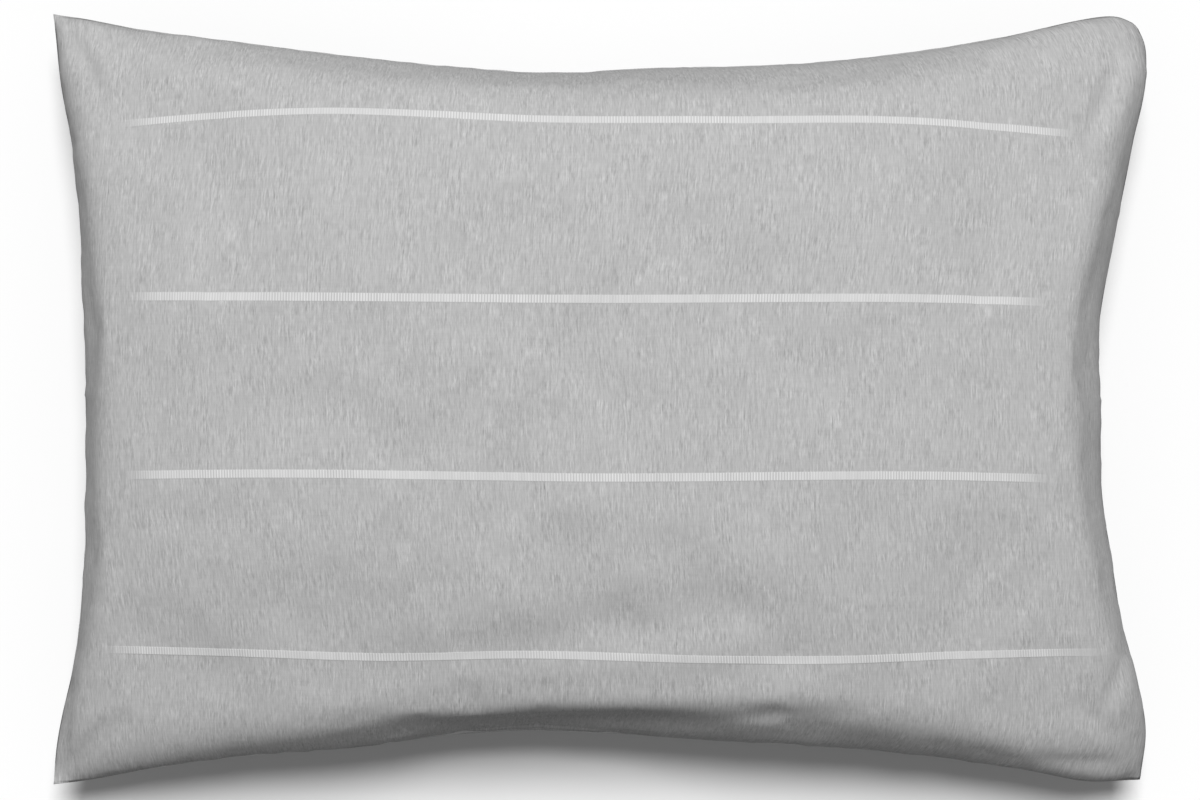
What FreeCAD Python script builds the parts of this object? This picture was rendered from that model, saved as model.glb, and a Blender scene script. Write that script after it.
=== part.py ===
"""Bed pillow in its envelope pillowcase, lying flat on its underside.

Two bodies. The pillowcase is a front panel, a back panel, the seams that join them and an
envelope closure at its +X end: the back panel stops there in a hem, and a flap folds in from the
front panel and lies between the hem and the pillow. The insert is a piped ticking bag filled with
hollow fibre. It slides out of the case through the closure, towards +X.

Frame: millimetres, +Z up, +X towards the closure, origin on the surface that the pillow lies on,
under the middle of the pillow. The soft parts are plain closed forms with no wrinkles.

Every layer is one cushion form, nested inside the last. A form is a crown and a keel, two spline
surfaces that meet in the seam plane along one outline, whose sides pull in between its corners.
"""

import FreeCAD, Part

import math
import os

# Filled pillowcase
CASE_LENGTH = 675.0  # between the points of its corners, before they are rounded
CASE_WIDTH = 475.0
CASE_HEIGHT = 165.0
SEAM_HEIGHT = 74.0
KEEL_DEPTH = 84.0  # how deep the underside would reach if the surface didn't flatten it
CLOSED_END_PULL = 25.0  # how far the middle of each edge pulls in from its corners
MOUTH_END_PULL = 32.0
UPPER_SIDE_PULL = 38.0
LOWER_SIDE_PULL = 36.0
CORNER_RADIUS = 9.0

# Cross-section of the cushion form: height falls off as (1 - t ** FALL_POWER) ** FALL_ROOT
FALL_POWER = 4.0
FALL_ROOT = 0.5
NET_ALONG_X = 25
NET_ALONG_Y = 19
SPLINE_DEGREE = 3

# Cloth and closure
FABRIC = 1.0
PLY_GAP = 0.3  # between neighbouring layers of cloth
SEAM_CLEARANCE = 0.15  # a panel's rim to the seam plane
HEM_WIDTH = 30.0
HEM_THICKNESS = 2.2
FLAP_DEPTH = 180.0
FLAP_HEM_WIDTH = 12.0
FLAP_HEM_THICKNESS = 2.2
SEAM_ALLOWANCE = 7.0
SEAM_THICKNESS = 1.6
SEAM_STARTS_IN = 3.0
SEAM_STOPS_SHORT = 34.0  # from a corner
FOLD_THICKNESS = 1.0

# Insert
INSERT_INSET = 16.0  # its edge to the case's edge
INSERT_CROWN_GAP = 2.6
INSERT_KEEL_GAP = 6.4
INSERT_FLOOR = 4.8
TICKING = 1.0
FILL_GAP = 0.5
INSERT_CORNER_RADIUS = 22.0
PIPING_WIDTH = 4.0
PIPING_GAP = 0.25

# Thread and labels
STITCH_RADIUS = 0.3
STITCH_LENGTH = 4.0
STITCH_PITCH = 6.0
STITCH_STANDS_OFF = 0.1
CLOSING_SEAM_LENGTH = 220.0
CLOSING_SEAM_FROM_EDGE = 0.4
LABEL_THICKNESS = 0.4
INSERT_LABEL_WIDTH = 60.0
INSERT_LABEL_DEPTH = 28.0
INSERT_LABEL_AT_X = -170.0
CASE_LABEL_WIDTH = 35.0
CASE_LABEL_DEPTH = 20.0
CASE_LABEL_AT_X = 225.0

HALF_X = CASE_LENGTH / 2
HALF_Y = CASE_WIDTH / 2
CROWN = CASE_HEIGHT - SEAM_HEIGHT
BIG = 2000.0


def edge_scale(inset):
    """How much smaller than the case a form is whose outline lies inset from the case's."""
    return (HALF_X - inset) / HALF_X, (HALF_Y - inset) / HALF_Y


def outline_point(u, v, inset=0.0):
    """The point of the seam plane at u and v, which run from -1 to 1 between opposite edges."""
    pull_x = MOUTH_END_PULL if u > 0 else CLOSED_END_PULL
    pull_y = UPPER_SIDE_PULL if v > 0 else LOWER_SIDE_PULL
    scale_x, scale_y = edge_scale(inset)
    x = u * (HALF_X - pull_x * (1 - v * v))
    y = v * (HALF_Y - pull_y * (1 - u * u))
    return x * scale_x, y * scale_y


def fullness(u, v):
    """Share of the full height at u and v: 1 in the middle and 0 along the outline."""
    fall = (1 - abs(u) ** FALL_POWER) * (1 - abs(v) ** FALL_POWER)
    return max(fall, 0.0) ** FALL_ROOT


def net_places(count):
    """Places from -1 to 1 for a row of control points, closer together towards the ends."""
    return [-math.cos(math.pi * i / (count - 1)) for i in range(count)]


def spline_surface(height, inset):
    """The face of a form that stands height above the seam plane, or below it if negative."""
    rows = []
    for u in net_places(NET_ALONG_X):
        row = []
        for v in net_places(NET_ALONG_Y):
            x, y = outline_point(u, v, inset)
            row.append(FreeCAD.Vector(x, y, SEAM_HEIGHT + height * fullness(u, v)))
        rows.append(row)
    knots, repeats = [], []
    for count in (NET_ALONG_X, NET_ALONG_Y):
        spans = count - SPLINE_DEGREE
        knots.append([float(k) for k in range(spans + 1)])
        repeats.append([SPLINE_DEGREE + 1] + [1] * (spans - 1) + [SPLINE_DEGREE + 1])
    surface = Part.BSplineSurface()
    surface.buildFromPolesMultsKnots(
        rows, repeats[0], repeats[1], knots[0], knots[1], False, False, SPLINE_DEGREE, SPLINE_DEGREE
    )
    return surface


def true_height(height, inset):
    """The net's height that brings the surface itself to height, which a spline falls short of."""
    trial = spline_surface(height, inset)
    low_u, high_u, low_v, high_v = trial.bounds()
    middle = trial.value((low_u + high_u) / 2, (low_v + high_v) / 2)
    return height * height / (middle.z - SEAM_HEIGHT)


def cushion(inset=0.0, crown_gap=0.0, keel_gap=0.0, floor=0.0):
    """A closed cushion form: its edge lies inset inside the case's, its crown and keel stand that
    far inside the case's, and it is flat where it would reach below floor."""
    crown = spline_surface(true_height(CROWN - crown_gap, inset), inset).toShape()
    keel = spline_surface(true_height(-(KEEL_DEPTH - keel_gap), inset), inset).toShape()
    shell = Part.Shell([crown, keel])
    shell.sewShape()
    return Part.Solid(shell).common(slab(floor, BIG))


def slab(low, high):
    """Everything between two heights."""
    return Part.makeBox(BIG, BIG, high - low, FreeCAD.Vector(-BIG / 2, -BIG / 2, low))


def outline_edge(inset, along, side):
    """One edge of the outline, as a spline: along "x" or "y", on the negative or positive side."""
    count = NET_ALONG_X if along == "x" else NET_ALONG_Y
    poles = []
    for t in net_places(count):
        x, y = outline_point(t, side, inset) if along == "x" else outline_point(side, t, inset)
        poles.append(FreeCAD.Vector(x, y, 0))
    curve = Part.BSplineCurve()
    spans = count - SPLINE_DEGREE
    repeats = [SPLINE_DEGREE + 1] + [1] * (spans - 1) + [SPLINE_DEGREE + 1]
    knots = [float(k) for k in range(spans + 1)]
    curve.buildFromPolesMultsKnots(poles, repeats, knots, False, SPLINE_DEGREE)
    return curve.toShape()


def outline_prism(inset, low, high, corner_radius):
    """The outline, inset and with rounded corners, standing from low to high."""
    edges = [
        outline_edge(inset, "x", -1),
        outline_edge(inset, "y", 1),
        outline_edge(inset, "x", 1),
        outline_edge(inset, "y", -1),
    ]
    face = Part.Face(Part.Wire(Part.__sortEdges__(edges)))
    prism = face.extrude(FreeCAD.Vector(0, 0, high - low))
    prism.translate(FreeCAD.Vector(0, 0, low))
    if corner_radius:
        upright = [e for e in prism.Edges if is_upright(e)]
        prism = prism.makeFillet(corner_radius, upright)
    return prism


def is_upright(edge):
    """Whether an edge runs straight up."""
    start, end = edge.Vertexes[0].Point, edge.Vertexes[-1].Point
    return abs(start.z - end.z) > 0.01 and math.hypot(start.x - end.x, start.y - end.y) < 0.01


def mouth_zone(width):
    """Everything beyond a line that runs width inside the mouth's edge and follows its curve."""
    edge = outline_edge(0.0, "y", 1)
    edge.translate(FreeCAD.Vector(-width, 0, 0))
    low, high = edge.Vertexes[0].Point, edge.Vertexes[-1].Point
    reach = [
        FreeCAD.Vector(low.x, -BIG / 2, 0),
        FreeCAD.Vector(BIG / 2, -BIG / 2, 0),
        FreeCAD.Vector(BIG / 2, BIG / 2, 0),
        FreeCAD.Vector(high.x, BIG / 2, 0),
    ]
    path = [low] + reach + [high]
    sides = [Part.LineSegment(a, b).toShape() for a, b in zip(path, path[1:])]
    face = Part.Face(Part.Wire(Part.__sortEdges__([edge] + sides)))
    return face.extrude(FreeCAD.Vector(0, 0, BIG / 2))


def solids_only(shape):
    """The shape's solids, without the stray faces that a cut can leave beside them."""
    found = [s for s in shape.Solids if s.Volume > 0.01]
    return found[0] if len(found) == 1 else Part.makeCompound(found)


def surface_frame(form, x, y, side):
    """A point of a form's crown (side 1) or keel (side -1) above or below x and y, and the
    outward normal there."""
    line = Part.LineSegment(
        FreeCAD.Vector(x, y, SEAM_HEIGHT), FreeCAD.Vector(x, y, SEAM_HEIGHT + side * BIG)
    ).toShape()
    place = form.common(line).Vertexes
    point = max((p.Point for p in place), key=lambda p: side * p.z)
    for face in form.Faces:
        if face.distToShape(Part.Vertex(point))[0] < 1e-3:
            u, v = face.Surface.parameter(point)
            normal = face.normalAt(u, v)
            if normal.z * side > 0:
                return point, normal
    return point, FreeCAD.Vector(0, 0, side)


def stitch_row(form, places, side, stand_off=STITCH_RADIUS + STITCH_STANDS_OFF):
    """A thread stitch between each pair of places, stand_off outside a form's surface."""
    stitches = []
    for (x0, y0), (x1, y1) in places:
        start, out0 = surface_frame(form, x0, y0, side)
        end, out1 = surface_frame(form, x1, y1, side)
        start, end = start + out0 * stand_off, end + out1 * stand_off
        run = end - start
        stitches.append(Part.makeCylinder(STITCH_RADIUS, run.Length, start, run))
    return Part.makeCompound(stitches)


def mouth_stitch_places(back_from_edge, half_length, inset=0.0):
    """Where the stitches of a row begin and end that follows the mouth's edge, that far inside it."""
    places = []
    count = int(2 * half_length // STITCH_PITCH)
    scale_x, scale_y = edge_scale(inset)
    for k in range(count):
        ends = []
        for along in (0.0, STITCH_LENGTH):
            y = -half_length + k * STITCH_PITCH + along
            v = y / HALF_Y
            x = (HALF_X - MOUTH_END_PULL * (1 - v * v) - back_from_edge) * scale_x
            ends.append((x, y * scale_y))
        places.append(ends)
    return places


# Pillowcase

def case_forms():
    """The outside of the case, the inside of its panels and the inside of its hem."""
    outside = cushion().common(outline_prism(0.0, -1.0, BIG, CORNER_RADIUS))
    inside = cushion(FABRIC * 1.2, FABRIC, FABRIC, FABRIC)
    inside_hem = cushion(HEM_THICKNESS * 1.2, HEM_THICKNESS, HEM_THICKNESS, HEM_THICKNESS)
    return outside, inside, inside_hem


def front_panel(outside, inside):
    return outside.cut(inside).common(slab(SEAM_HEIGHT + SEAM_CLEARANCE, BIG))


def back_panel(outside, inside):
    """The underside, from the closed end to the hem."""
    below = slab(-1.0, SEAM_HEIGHT - SEAM_CLEARANCE)
    return outside.cut(inside).common(below).cut(mouth_zone(HEM_WIDTH))


def back_hem(outside, inside_hem):
    """The back panel's edge at the mouth, turned under twice: three plies of cloth."""
    below = slab(-1.0, SEAM_HEIGHT - SEAM_CLEARANCE - FOLD_THICKNESS - PLY_GAP)
    zone = mouth_zone(HEM_WIDTH - SEAM_CLEARANCE)
    return outside.cut(inside_hem).common(below).common(zone)


def flap_layer(thickness, zone):
    """Cloth of that thickness in a zone of the back panel's inside, clear of it and of its hem."""
    clear = HEM_THICKNESS + PLY_GAP
    floor = FABRIC + PLY_GAP
    outer = cushion(clear * 1.2, clear, clear, floor)
    inner = flap_inside(thickness)
    top = SEAM_HEIGHT - SEAM_CLEARANCE - FOLD_THICKNESS - PLY_GAP
    return outer.common(zone).common(slab(-1.0, top)).cut(inner)


def flap_inside(thickness):
    """The space inside a flap of that thickness."""
    gap = HEM_THICKNESS + PLY_GAP + thickness
    return cushion(gap * 1.2, gap, gap, FABRIC + PLY_GAP + thickness)


def tuck_flap():
    """The flap that folds in at the mouth and holds the insert, from the fold to its hem."""
    return flap_layer(FABRIC, mouth_zone(FLAP_DEPTH - FLAP_HEM_WIDTH))


def flap_hem():
    """The flap's free edge, turned under."""
    rest = mouth_zone(FLAP_DEPTH - FLAP_HEM_WIDTH + SEAM_CLEARANCE)
    return flap_layer(FLAP_HEM_THICKNESS, mouth_zone(FLAP_DEPTH).cut(rest))


def flap_stitching():
    """The row of thread on the inside of the flap's hem."""
    places = mouth_stitch_places(FLAP_DEPTH - FLAP_HEM_WIDTH / 2, HALF_Y - UPPER_SIDE_PULL - 60.0)
    inward = -STITCH_RADIUS - STITCH_STANDS_OFF
    return stitch_row(flap_inside(FLAP_HEM_THICKNESS), places, -1, inward)


def seam_ring():
    """The seam allowance all round the case, flat in the seam plane."""
    low, high = SEAM_HEIGHT - SEAM_THICKNESS / 2, SEAM_HEIGHT + SEAM_THICKNESS / 2
    outer = outline_prism(SEAM_STARTS_IN, low, high, 0)
    inner = outline_prism(SEAM_STARTS_IN + SEAM_ALLOWANCE, low - 1, high + 1, 0)
    return outer.cut(inner)


def block(low_x, high_x, low_y, high_y, low_z=0.0, high_z=BIG):
    """A box between those limits."""
    size = (high_x - low_x, high_y - low_y, high_z - low_z)
    return Part.makeBox(*size, FreeCAD.Vector(low_x, low_y, low_z))


def edge_seams():
    """The upper, lower and closed-end seams."""
    ring = seam_ring()
    reach = SEAM_STARTS_IN + SEAM_ALLOWANCE + 1.0
    end_x = HALF_X - CLOSED_END_PULL - reach
    side_y = HALF_Y - UPPER_SIDE_PULL - reach
    far_y = HALF_Y - SEAM_STOPS_SHORT
    return {
        "upper_side_seam": ring.common(block(-end_x, end_x, side_y, HALF_Y)),
        "lower_side_seam": ring.common(block(-end_x, end_x, -HALF_Y, -side_y)),
        "closed_end_seam": ring.common(block(-HALF_X, -end_x, -far_y, far_y)),
    }


def mouth_fold():
    """The folded edge that joins the front panel to the flap along the mouth."""
    high = SEAM_HEIGHT
    low = high - FOLD_THICKNESS
    outer = outline_prism(PLY_GAP, low, high, CORNER_RADIUS)
    inner = outline_prism(SEAM_STARTS_IN + SEAM_ALLOWANCE, low - 1, high + 1, 0)
    near_x = HALF_X - MOUTH_END_PULL - SEAM_STARTS_IN - SEAM_ALLOWANCE - 1.0
    far_y = HALF_Y - SEAM_STOPS_SHORT
    return outer.cut(inner).common(block(near_x, HALF_X, -far_y, far_y))


def lower_edge_at(x):
    """Where the case's lower side runs at x."""
    return outline_point(x / HALF_X, -1)[1]


def case_care_label():
    """A blank tape sewn into the lower side seam, lying against the inside of the front panel."""
    start = FABRIC + PLY_GAP
    outer = cushion(start * 1.2, start, start, 0)
    end = start + LABEL_THICKNESS
    inner = cushion(end * 1.2, end, end, 0)
    x, y = CASE_LABEL_AT_X, lower_edge_at(CASE_LABEL_AT_X)
    low = SEAM_HEIGHT + SEAM_THICKNESS
    cutter = block(x, x + CASE_LABEL_WIDTH, y, y + CASE_LABEL_DEPTH, low)
    return outer.cut(inner).common(cutter)


def hem_stitching(outside):
    """The row of thread that holds the back panel's hem, on its underside."""
    places = mouth_stitch_places(HEM_WIDTH - 3.0, HALF_Y - UPPER_SIDE_PULL / 2 - 12.0)
    return stitch_row(outside, places, -1)


# Insert

def insert_form(further_in=0.0):
    """The ticking's outside, or a form that far inside it."""
    form = cushion(
        INSERT_INSET + further_in,
        INSERT_CROWN_GAP + further_in,
        INSERT_KEEL_GAP + further_in,
        INSERT_FLOOR + further_in,
    )
    radius = INSERT_CORNER_RADIUS - further_in
    return form.common(outline_prism(INSERT_INSET + further_in, -1.0, BIG, radius))


def ticking_panels(outside):
    """The insert's two cloth panels, which meet at the piping."""
    shell = outside.cut(insert_form(TICKING))
    return {
        "ticking_top": shell.common(slab(SEAM_HEIGHT + SEAM_CLEARANCE, BIG)),
        "ticking_bottom": shell.common(slab(-1.0, SEAM_HEIGHT - SEAM_CLEARANCE)),
    }


def ticking_piping():
    """The corded edge that runs all round the insert's seam."""
    low, high = SEAM_HEIGHT - PIPING_WIDTH / 2, SEAM_HEIGHT + PIPING_WIDTH / 2
    starts_at = INSERT_INSET - PIPING_GAP
    radius = INSERT_CORNER_RADIUS
    outer = outline_prism(starts_at - PIPING_WIDTH, low, high, radius + PIPING_WIDTH)
    return outer.cut(outline_prism(starts_at, low - 1.0, high + 1.0, radius))


def insert_label(outside):
    """A blank tape sewn into the piping seam, folded down against the underside of the insert."""
    start = LABEL_THICKNESS + PLY_GAP
    outer = cushion(
        INSERT_INSET - start, INSERT_CROWN_GAP - start, INSERT_KEEL_GAP - start, INSERT_FLOOR - start
    )
    inner = cushion(
        INSERT_INSET - PLY_GAP,
        INSERT_CROWN_GAP - PLY_GAP,
        INSERT_KEEL_GAP - PLY_GAP,
        INSERT_FLOOR - PLY_GAP,
    )
    x, y = INSERT_LABEL_AT_X, lower_edge_at(INSERT_LABEL_AT_X)
    top = SEAM_HEIGHT - PIPING_WIDTH / 2 - 1.0
    cutter = block(x, x + INSERT_LABEL_WIDTH, y, y + INSERT_LABEL_DEPTH, 0.0, top)
    return outer.cut(inner).cut(outside).common(cutter)


def closing_stitches(outside):
    """The thread that closes the gap that the insert was filled through, beside its piping."""
    places = mouth_stitch_places(CLOSING_SEAM_FROM_EDGE, CLOSING_SEAM_LENGTH / 2, INSERT_INSET)
    return stitch_row(outside, places, 1)


def build():
    """Every node by name."""
    outside, inside, inside_hem = case_forms()
    insert = insert_form()
    nodes = {
        "front_panel": front_panel(outside, inside),
        "back_panel": back_panel(outside, inside),
        "back_hem": back_hem(outside, inside_hem),
        "hem_stitching": hem_stitching(outside),
        "mouth_fold": mouth_fold(),
        "tuck_flap": tuck_flap(),
        "flap_hem": flap_hem(),
        "flap_stitching": flap_stitching(),
        "case_care_label": case_care_label(),
        "ticking_piping": ticking_piping(),
        "insert_label": insert_label(insert),
        "closing_stitches": closing_stitches(insert),
        "fibre_fill": insert_form(TICKING + FILL_GAP),
    }
    nodes.update(edge_seams())
    nodes.update(ticking_panels(insert))
    return nodes


def main():
    os.makedirs("parts", exist_ok=True)
    for name, shape in build().items():
        shape = solids_only(shape)
        if not shape.isValid():
            print("not valid:", name)
        box = shape.optimalBoundingBox(True, False)
        print(
            f"{name:18s} solids {len(shape.Solids):3d}  volume {shape.Volume / 1000:9.2f} cm3  "
            f"x {box.XMin:7.1f} {box.XMax:7.1f}  y {box.YMin:7.1f} {box.YMax:7.1f}  "
            f"z {box.ZMin:6.2f} {box.ZMax:6.2f}"
        )
        shape.exportStep(os.path.join("parts", name + ".step"))


main()
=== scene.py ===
import math

import bmesh
import bpy
import numpy as np
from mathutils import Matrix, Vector, noise
from mathutils.bvhtree import BVHTree


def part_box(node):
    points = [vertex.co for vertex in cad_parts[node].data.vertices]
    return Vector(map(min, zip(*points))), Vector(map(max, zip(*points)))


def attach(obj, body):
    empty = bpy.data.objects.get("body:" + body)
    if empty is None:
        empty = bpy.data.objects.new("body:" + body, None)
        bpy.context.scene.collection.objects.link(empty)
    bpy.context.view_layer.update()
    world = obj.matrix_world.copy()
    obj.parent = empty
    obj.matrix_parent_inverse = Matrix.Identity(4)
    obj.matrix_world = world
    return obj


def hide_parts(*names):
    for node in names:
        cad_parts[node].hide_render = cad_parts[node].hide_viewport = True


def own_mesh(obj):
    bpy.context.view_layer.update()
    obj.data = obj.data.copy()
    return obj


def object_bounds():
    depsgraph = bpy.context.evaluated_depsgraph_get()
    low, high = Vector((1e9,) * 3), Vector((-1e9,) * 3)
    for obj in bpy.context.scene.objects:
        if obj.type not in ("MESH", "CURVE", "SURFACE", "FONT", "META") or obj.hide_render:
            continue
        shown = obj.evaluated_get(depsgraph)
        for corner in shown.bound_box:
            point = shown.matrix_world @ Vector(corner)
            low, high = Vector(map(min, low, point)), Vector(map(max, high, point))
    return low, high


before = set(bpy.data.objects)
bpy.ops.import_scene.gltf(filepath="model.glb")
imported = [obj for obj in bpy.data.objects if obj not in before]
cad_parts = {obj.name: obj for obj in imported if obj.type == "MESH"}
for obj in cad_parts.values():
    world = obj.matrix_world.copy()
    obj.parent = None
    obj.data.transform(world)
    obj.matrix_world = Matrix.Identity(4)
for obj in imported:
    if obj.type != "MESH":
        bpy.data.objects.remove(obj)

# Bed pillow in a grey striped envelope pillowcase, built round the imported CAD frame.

CAD_LOW, CAD_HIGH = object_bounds()

MM = 0.001

# Cut sizes of the cloth, in metres
CASE_FLAT = (0.700, 0.500)
INSERT_FLAT = (0.672, 0.472)
FLAP_DEPTH = 0.180
FLAP_HEM = 0.012
BACK_HEM = 0.030
CLOTH = 0.6 * MM

# Heights of the filled case over and under its seam
SEAM_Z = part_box("front_panel")[0].z
CROWN = CAD_HIGH.z - SEAM_Z
KEEL = 0.084

# How far the left, right, upper and lower sides pull in between the corners
PULLS = (0.025, 0.032, 0.038, 0.036)
# How squarely the crown falls at each end, low to high
LENGTH_POWERS = (2.3, 2.05)
WIDTH_POWERS = (2.1, 3.8)

# Cells of the grids that the cloth is settled on and drawn on
SIM_CELLS = (112, 80)
CASE_CELLS = (280, 176)
INSERT_CELLS = (168, 120)
FIBRE_CELLS = (70, 50)

# The camera looks straight down from this far over the seam
LENS = 100
SENSOR = 36
VIEW_WIDTH = 0.732
VIEW_HEIGHT = VIEW_WIDTH * LENS / SENSOR

# One stitch
STITCH_PITCH = 6 * MM
STITCH_LENGTH = 4.2 * MM
STITCH_RADIUS = 0.33 * MM


def linked(name, data):
    """A new object in the scene."""
    thing = bpy.data.objects.new(name, data)
    bpy.context.scene.collection.objects.link(thing)
    return thing


# Shapes: every cloth layer is a pair of grids of points, front and back, indexed by where the
# point lies on the flat cloth.


def arc_places(half, height, count, powers=(4, 4)):
    """Places from -1 to 1 that lie evenly spaced along the cloth over a crown. The crown's
    profile falls by its own power on each side."""
    angle = np.linspace(0, math.pi, 4001)
    across = -np.cos(angle)
    rise = height * np.sqrt(profile(across, powers))
    run = np.concatenate([[0], np.cumsum(np.hypot(np.diff(half * across), np.diff(rise)))])
    return -np.cos(np.interp(np.linspace(0, run[-1], count + 1), run, angle))


def profile(across, powers):
    power = np.where(across > 0, powers[1], powers[0])
    return np.clip(1 - np.abs(across) ** power, 0, None)


def end_powers(across, base):
    """The powers of a profile: full over the middle of the bag and round near its corners."""
    corner, quickness, round_power = 0.72, 1.8, 2.0
    ease = min(1.0, abs(across) / corner) ** quickness
    return tuple(p - max(0, p - round_power) * ease for p in base)


def flat_grid(flat, cells):
    """Flat coordinates of a grid on a rectangle of cloth with that many cells."""
    s = np.linspace(-flat[0] / 2, flat[0] / 2, cells[0] + 1)
    t = np.linspace(-flat[1] / 2, flat[1] / 2, cells[1] + 1)
    return np.meshgrid(s, t, indexing="ij")


def fractal(x, y, z):
    return noise.fractal(Vector((x, y, z)), 0.8, 2.0, 3)


def cushion_start(flat, half, crown, keel, lumps, seed):
    """The crowned form that a filled bag settles from. Every row and column of the cloth is
    spread evenly over the crown that it crosses."""
    left, right, upper, lower = PULLS
    sides = []
    cells = SIM_CELLS
    s, t = flat_grid(flat, cells)
    for side, height in ((1, crown), (-1, keel)):
        along = arc_places(half[0] - (left + right) / 2, height, cells[0])
        across = arc_places(half[1] - (upper + lower) / 2, height, cells[1])
        u = np.repeat(along[:, None], cells[1] + 1, 1)
        v = np.repeat(across[None], cells[0] + 1, 0)
        for _ in range(2):
            mid_u, mid_v = u[:, cells[1] // 2].copy(), v[cells[0] // 2].copy()
            for i, place in enumerate(mid_u):
                width = half[1] - (upper + lower) / 2 * (1 - place**2)
                tall = height * math.sqrt(profile(place, LENGTH_POWERS))
                v[i] = arc_places(width, tall, cells[1], end_powers(place, WIDTH_POWERS))
            for j, place in enumerate(mid_v):
                length = half[0] - (left + right) / 2 * (1 - place**2)
                tall = height * math.sqrt(profile(place, WIDTH_POWERS))
                u[:, j] = arc_places(length, tall, cells[0], end_powers(place, LENGTH_POWERS))
        x = u * (half[0] - np.where(u > 0, right, left) * (1 - v**2))
        y = v * (half[1] - np.where(v > 0, upper, lower) * (1 - u**2))
        full = np.zeros_like(u)
        for i, j in np.ndindex(*u.shape):
            in_length = profile(u[i, j], end_powers(v[i, j], LENGTH_POWERS))
            in_width = profile(v[i, j], end_powers(u[i, j], WIDTH_POWERS))
            full[i, j] = math.sqrt(in_length * in_width)
        z = SEAM_Z + side * height * full
        for i, j in np.ndindex(*z.shape):
            if i in (0, cells[0]) or j in (0, cells[1]):
                z[i, j] += 1.3 * lumps * fractal(s[i, j] * 14, t[i, j] * 14, seed)
            else:
                lump = fractal(s[i, j] * 9 + 31 * side, t[i, j] * 9, seed)
                z[i, j] += side * lumps * lump * full[i, j]
        sides.append(np.stack([x, y, z], -1))
    sides[1][0], sides[1][-1] = sides[0][0], sides[0][-1]
    sides[1][:, 0], sides[1][:, -1] = sides[0][:, 0], sides[0][:, -1]
    return sides


def sealed_mesh(name, front, back):
    """A closed mesh of the two grids, sharing their rim, and each grid's vertex numbers."""
    rows, columns = front.shape[:2]
    rim = np.zeros((rows, columns), bool)
    rim[0], rim[-1], rim[:, 0], rim[:, -1] = True, True, True, True
    front_ids = np.arange(rows * columns).reshape(rows, columns)
    back_ids = front_ids.copy()
    back_ids[~rim] = rows * columns + np.arange((~rim).sum())
    points = np.concatenate([front.reshape(-1, 3), back[~rim]])
    faces = []
    for ids, flip in ((front_ids, False), (back_ids, True)):
        quads = np.stack([ids[:-1, :-1], ids[1:, :-1], ids[1:, 1:], ids[:-1, 1:]], -1).reshape(-1, 4)
        faces += (quads[:, ::-1] if flip else quads).tolist()
    mesh = bpy.data.meshes.new(name)
    mesh.from_pydata(points.tolist(), [], faces)
    mesh.update()
    return mesh, front_ids, back_ids


def mesh_points(mesh):
    points = np.empty(len(mesh.vertices) * 3)
    mesh.vertices.foreach_get("co", points)
    return points.reshape(-1, 3)


def settle(front, back, flat, seam_draw, fill_more, frames):
    """Lets the bag's cloth settle over its filling. The cloth's natural lengths are those of the
    two flat panels, with the seams drawn up a little, so its spare length goes into creases."""
    mesh, front_ids, back_ids = sealed_mesh("settling", front, back)
    bag = linked("settling", mesh)
    bag.shape_key_add(name="Basis")
    flat_key = bag.shape_key_add(name="flat")
    s, t = flat_grid(flat, SIM_CELLS)
    draw = np.ones_like(s)
    draw[0] = draw[-1] = draw[:, 0] = draw[:, -1] = 1 - seam_draw
    sheet = np.stack([s * draw, t * draw, np.zeros_like(s)], -1)
    rest = np.zeros((len(mesh.vertices), 3))
    rest[front_ids.ravel()] = sheet.reshape(-1, 3)
    rest[back_ids.ravel()] = sheet.reshape(-1, 3)
    flat_key.data.foreach_set("co", rest.ravel())
    flat_key.value = 0.0
    cloth = bag.modifiers.new("cloth", "CLOTH")
    set_up = cloth.settings
    set_up.quality = 6
    set_up.mass = 0.15
    set_up.bending_model = "ANGULAR"
    set_up.tension_stiffness, set_up.compression_stiffness = 40, 20
    set_up.shear_stiffness, set_up.bending_stiffness = 8, 0.4
    set_up.tension_damping = set_up.compression_damping = set_up.shear_damping = 5
    set_up.bending_damping = 0.2
    set_up.air_damping = 1
    set_up.use_pressure = True
    set_up.use_pressure_volume = True
    set_up.uniform_pressure_force = 0
    set_up.pressure_factor = 20
    set_up.target_volume = enclosed_volume(mesh) * fill_more
    set_up.rest_shape_key = flat_key
    set_up.effector_weights.gravity = 0
    cloth.collision_settings.use_collision = False
    cloth.collision_settings.use_self_collision = False
    scene = bpy.context.scene
    cloth.point_cache.frame_start, cloth.point_cache.frame_end = 1, frames
    scene.frame_start, scene.frame_end = 1, frames
    for number in range(1, frames + 1):
        scene.frame_set(number)
    settled = bag.evaluated_get(bpy.context.evaluated_depsgraph_get())
    points = mesh_points(settled.to_mesh())
    settled.to_mesh_clear()
    bpy.data.objects.remove(bag)
    scene.frame_set(1)
    return points[front_ids], points[back_ids]


def enclosed_volume(mesh):
    mesh.calc_loop_triangles()
    corners = np.empty(len(mesh.loop_triangles) * 3, np.int32)
    mesh.loop_triangles.foreach_get("vertices", corners)
    a, b, c = (mesh_points(mesh)[corners.reshape(-1, 3)[:, k]] for k in range(3))
    return float((a * np.cross(b, c)).sum() / 6)


def resample(grid, cells):
    """The same surface on a grid with other cells, smoothly."""
    for axis in (0, 1):
        count = grid.shape[axis] - 1
        at = np.linspace(0, count, cells[axis] + 1)
        base = np.minimum(at.astype(int), count - 1)
        f = (at - base).reshape([-1 if k == axis else 1 for k in range(3)])
        p0, p1, p2, p3 = (
            np.take(grid, np.clip(base + k, 0, count), axis=axis) for k in (-1, 0, 1, 2)
        )
        grid = p1 + 0.5 * f * (
            p2 - p0 + f * (2 * p0 - 5 * p1 + 4 * p2 - p3 + f * (3 * (p1 - p2) + p3 - p0))
        )
    return grid


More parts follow.
